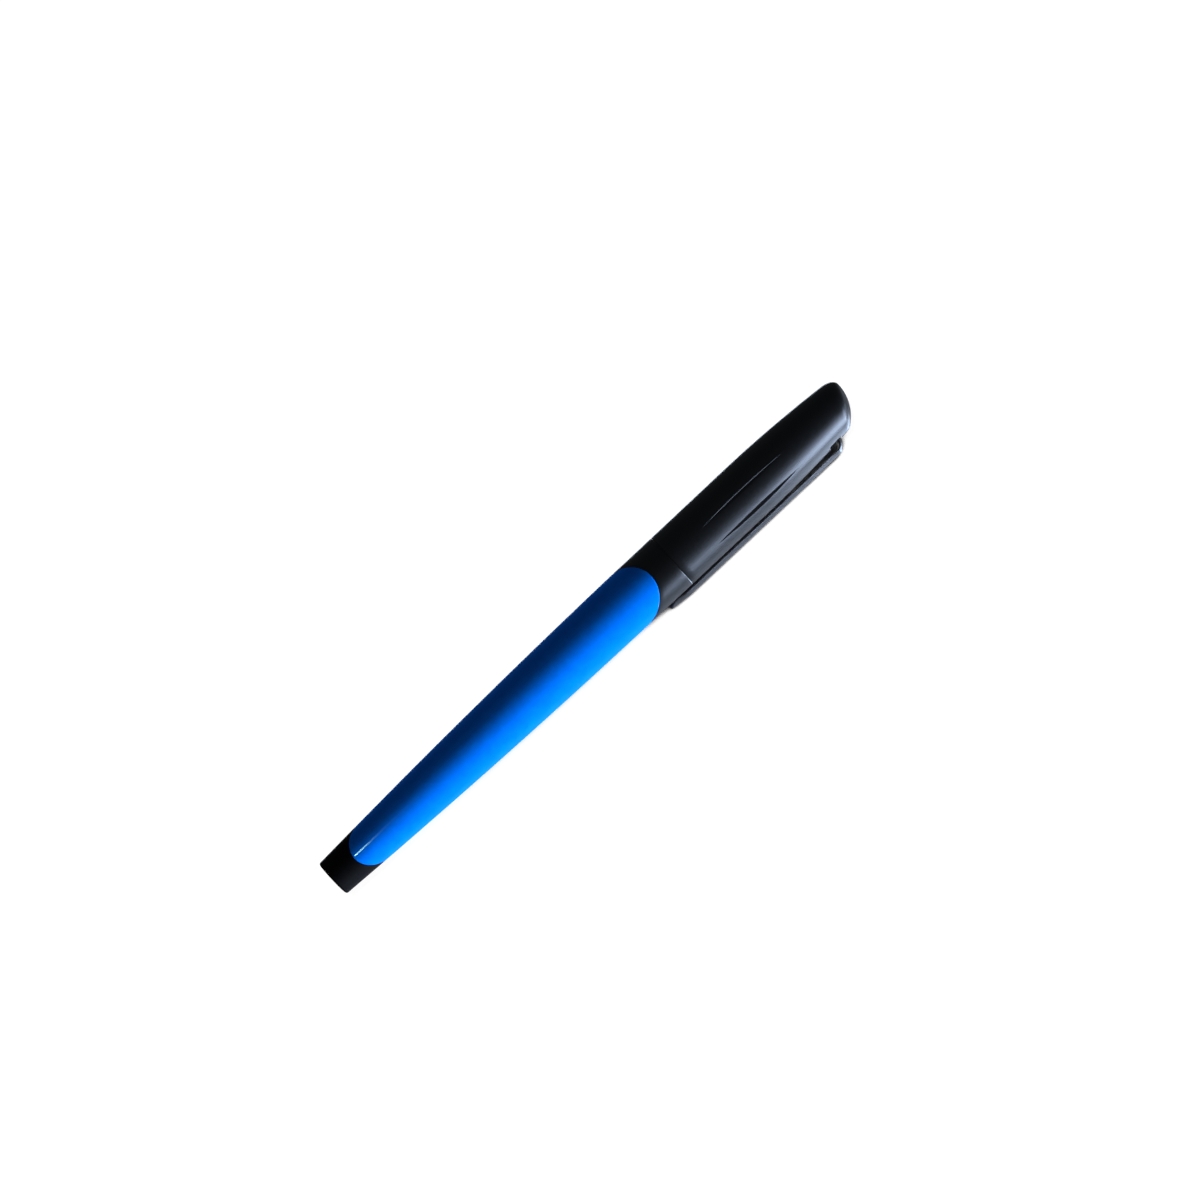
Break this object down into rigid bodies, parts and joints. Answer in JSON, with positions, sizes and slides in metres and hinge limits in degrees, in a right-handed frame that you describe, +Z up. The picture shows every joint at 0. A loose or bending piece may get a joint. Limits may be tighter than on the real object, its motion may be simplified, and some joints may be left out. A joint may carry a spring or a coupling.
{
  "type": "technical pen",
  "caption": "Capped technical pen with a slim tapered blue barrel, black collar, tail and cap, a sprung pocket clip, and a tubular drawing point with its ink system inside.",
  "frame": {"origin": "centre of the flat end of the tail, on the pen's axis", "axes": "+X along the pen from tail to cap, +Z up as the pen lies at rest on a table; the clip points down and to -Y, and the table is at z = -6 mm"},
  "size_m": [0.1369, 0.012, 0.012],
  "materials": {
    "blue_gloss": "high-gloss lacquered sleeve",
    "black_satin": "fine satin moulded black",
    "crown_black": "smooth semi-gloss black",
    "section_black": "smooth moulded black",
    "clip_black": "satin black coated spring steel",
    "rubber_black": "matte rubber",
    "rubber_red": "soft seal rubber",
    "white_plastic": "natural moulded plastic",
    "grey_plastic": "moulded grey plastic",
    "cartridge_clear": "translucent plastic",
    "width_blue": "coloured plastic that tells the line width",
    "steel": "drawn stainless steel",
    "brass": "turned brass"
  },
  "bodies": {
    "section": {"grip_section": "section_black", "cartridge_clamp_ring": "grey_plastic", "ink_compensator": "white_plastic", "feed_tube": "steel"},
    "cap_ring": {"cap_friction_ring": "rubber_black"},
    "cap": {"cap_shell": "black_satin", "cap_crown": "crown_black", "cap_spring": "steel", "inner_cap_retainer": "steel", "clip_cross_pin": "steel"},
    "clip": {"pocket_clip": "clip_black"},
    "inner_cap": {"inner_cap": "white_plastic", "inner_cap_gasket": "rubber_black", "point_seal_pad": "rubber_red"},
    "seal_ring": {"barrel_seal_ring": "rubber_black"},
    "barrel": {"barrel_sleeve": "blue_gloss", "barrel_tube": "black_satin", "tail_piece": "black_satin"},
    "cartridge": {"ink_cartridge": "cartridge_clear"},
    "width_ring": {"line_width_ring": "width_blue"},
    "point": {"point_body": "section_black", "point_tube": "steel", "point_stopper": "white_plastic"},
    "weight": {"drop_weight": "brass", "cleaning_wire": "steel"}
  },
  "joints": [
    {"name": "cap_turn", "type": "hinge", "parent": "section", "child": "cap_ring", "pos_m": [0.093, 0, 0], "axis": [1, 0, 0], "continuous": true},
    {"name": "cap_pull", "type": "slide", "parent": "cap_ring", "child": "cap", "axis": [1, 0, 0], "range_m": [0, 0.06]},
    {"name": "clip_flex", "type": "hinge", "parent": "cap", "child": "clip", "pos_m": [0.12965, -0.00319, -0.00317], "axis": [0, -0.7049, 0.7093], "range_deg": [0, 4], "stiffness_Nm_per_rad": 0.3},
    {"name": "inner_cap_slide", "type": "slide", "parent": "cap", "child": "inner_cap", "axis": [1, 0, 0], "range_m": [0, 0.0015], "stiffness_N_per_m": 100, "deforming": ["cap_spring"]},
    {"name": "barrel_turn", "type": "hinge", "parent": "section", "child": "seal_ring", "pos_m": [0.0796, 0, 0], "axis": [1, 0, 0], "continuous": true},
    {"name": "barrel_draw", "type": "slide", "parent": "seal_ring", "child": "barrel", "axis": [-1, 0, 0], "range_m": [0, 0.075]},
    {"name": "cartridge_pull", "type": "slide", "parent": "section", "child": "cartridge", "axis": [-1, 0, 0], "range_m": [0, 0.006]},
    {"name": "point_turn", "type": "hinge", "parent": "section", "child": "width_ring", "pos_m": [0.1142, 0, 0], "axis": [1, 0, 0], "range_deg": [0, 1080.5]},
    {"name": "point_feed", "type": "slide", "parent": "width_ring", "child": "point", "axis": [1, 0, 0], "range_m": [0, 0.00225]},
    {"name": "weight_slide", "type": "slide", "parent": "point", "child": "weight", "axis": [-1, 0, 0], "range_m": [0, 0.0015]}
  ],
  "couplings": [
    {"joint": "point_turn", "follows": "point_feed", "rad_per_m": 8377.6}
  ]
}
